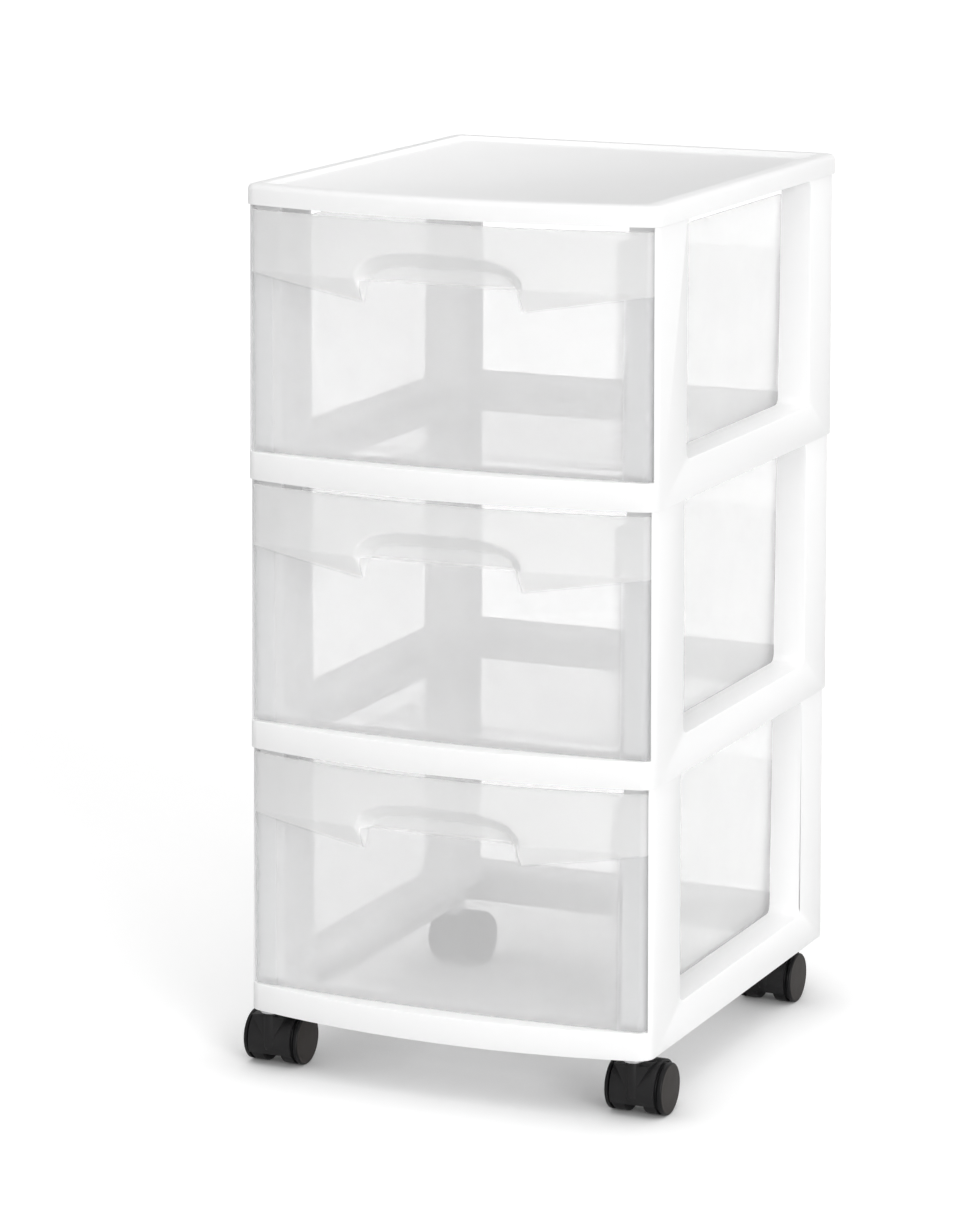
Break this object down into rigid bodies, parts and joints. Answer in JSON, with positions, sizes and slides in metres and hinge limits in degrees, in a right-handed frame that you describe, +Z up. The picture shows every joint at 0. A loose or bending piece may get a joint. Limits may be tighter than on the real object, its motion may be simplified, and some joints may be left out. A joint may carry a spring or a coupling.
{
  "type": "drawer storage cart",
  "caption": "Tall rolling storage cart with stacked open-sided frames, bow-fronted translucent pull-out drawers, a trayed top panel and twin-wheel swivel casters.",
  "frame": {"origin": "on the floor, under the middle of the cart's outline", "axes": "+Z up, -Y out of the drawer fronts, +X to the right of someone facing the drawers"},
  "size_m": [0.3196, 0.3726, 0.6285],
  "materials": {
    "frame": "satin white moulding",
    "drawer": "frosted clear moulding",
    "caster": "satin black moulding",
    "caster_wheel": "satin black moulding",
    "steel": "zinc plated"
  },
  "bodies": {
    "cart": {"tier_frame_lower": "frame", "tier_frame_middle": "frame", "tier_frame_upper": "frame", "top_panel": "frame", "caster_stem_front_left": "steel", "caster_stem_front_right": "steel", "caster_stem_rear_left": "steel", "caster_stem_rear_right": "steel"},
    "drawer_lower_body": {"drawer_lower": "drawer"},
    "drawer_middle_body": {"drawer_middle": "drawer"},
    "drawer_upper_body": {"drawer_upper": "drawer"},
    "caster_front_left": {"caster_hood_front_left": "caster", "caster_axle_front_left": "steel"},
    "wheel_front_left_a": {"caster_wheel_front_left_a": "caster_wheel"},
    "wheel_front_left_b": {"caster_wheel_front_left_b": "caster_wheel"},
    "caster_front_right": {"caster_hood_front_right": "caster", "caster_axle_front_right": "steel"},
    "wheel_front_right_a": {"caster_wheel_front_right_a": "caster_wheel"},
    "wheel_front_right_b": {"caster_wheel_front_right_b": "caster_wheel"},
    "caster_rear_left": {"caster_hood_rear_left": "caster", "caster_axle_rear_left": "steel"},
    "wheel_rear_left_a": {"caster_wheel_rear_left_a": "caster_wheel"},
    "wheel_rear_left_b": {"caster_wheel_rear_left_b": "caster_wheel"},
    "caster_rear_right": {"caster_hood_rear_right": "caster", "caster_axle_rear_right": "steel"},
    "wheel_rear_right_a": {"caster_wheel_rear_right_a": "caster_wheel"},
    "wheel_rear_right_b": {"caster_wheel_rear_right_b": "caster_wheel"}
  },
  "joints": [
    {"name": "drawer_lower_slide", "type": "slide", "parent": "cart", "child": "drawer_lower_body", "axis": [0, -1, 0], "range_m": [0, 0.26]},
    {"name": "drawer_middle_slide", "type": "slide", "parent": "cart", "child": "drawer_middle_body", "axis": [0, -1, 0], "range_m": [0, 0.26]},
    {"name": "drawer_upper_slide", "type": "slide", "parent": "cart", "child": "drawer_upper_body", "axis": [0, -1, 0], "range_m": [0, 0.26]},
    {"name": "caster_front_left_swivel", "type": "hinge", "parent": "cart", "child": "caster_front_left", "pos_m": [-0.1385, -0.159, 0.042], "axis": [0, 0, 1], "continuous": true},
    {"name": "wheel_front_left_a_spin", "type": "hinge", "parent": "caster_front_left", "child": "wheel_front_left_a", "pos_m": [-0.1385, -0.143, 0.0183], "axis": [1, 0, 0], "continuous": true},
    {"name": "wheel_front_left_b_spin", "type": "hinge", "parent": "caster_front_left", "child": "wheel_front_left_b", "pos_m": [-0.1385, -0.143, 0.0183], "axis": [1, 0, 0], "continuous": true},
    {"name": "caster_front_right_swivel", "type": "hinge", "parent": "cart", "child": "caster_front_right", "pos_m": [0.1385, -0.159, 0.042], "axis": [0, 0, 1], "continuous": true},
    {"name": "wheel_front_right_a_spin", "type": "hinge", "parent": "caster_front_right", "child": "wheel_front_right_a", "pos_m": [0.1385, -0.143, 0.0183], "axis": [1, 0, 0], "continuous": true},
    {"name": "wheel_front_right_b_spin", "type": "hinge", "parent": "caster_front_right", "child": "wheel_front_right_b", "pos_m": [0.1385, -0.143, 0.0183], "axis": [1, 0, 0], "continuous": true},
    {"name": "caster_rear_left_swivel", "type": "hinge", "parent": "cart", "child": "caster_rear_left", "pos_m": [-0.126, 0.13, 0.042], "axis": [0, 0, 1], "continuous": true},
    {"name": "wheel_rear_left_a_spin", "type": "hinge", "parent": "caster_rear_left", "child": "wheel_rear_left_a", "pos_m": [-0.126, 0.146, 0.0183], "axis": [1, 0, 0], "continuous": true},
    {"name": "wheel_rear_left_b_spin", "type": "hinge", "parent": "caster_rear_left", "child": "wheel_rear_left_b", "pos_m": [-0.126, 0.146, 0.0183], "axis": [1, 0, 0], "continuous": true},
    {"name": "caster_rear_right_swivel", "type": "hinge", "parent": "cart", "child": "caster_rear_right", "pos_m": [0.126, 0.13, 0.042], "axis": [0, 0, 1], "continuous": true},
    {"name": "wheel_rear_right_a_spin", "type": "hinge", "parent": "caster_rear_right", "child": "wheel_rear_right_a", "pos_m": [0.126, 0.146, 0.0183], "axis": [1, 0, 0], "continuous": true},
    {"name": "wheel_rear_right_b_spin", "type": "hinge", "parent": "caster_rear_right", "child": "wheel_rear_right_b", "pos_m": [0.126, 0.146, 0.0183], "axis": [1, 0, 0], "continuous": true}
  ]
}
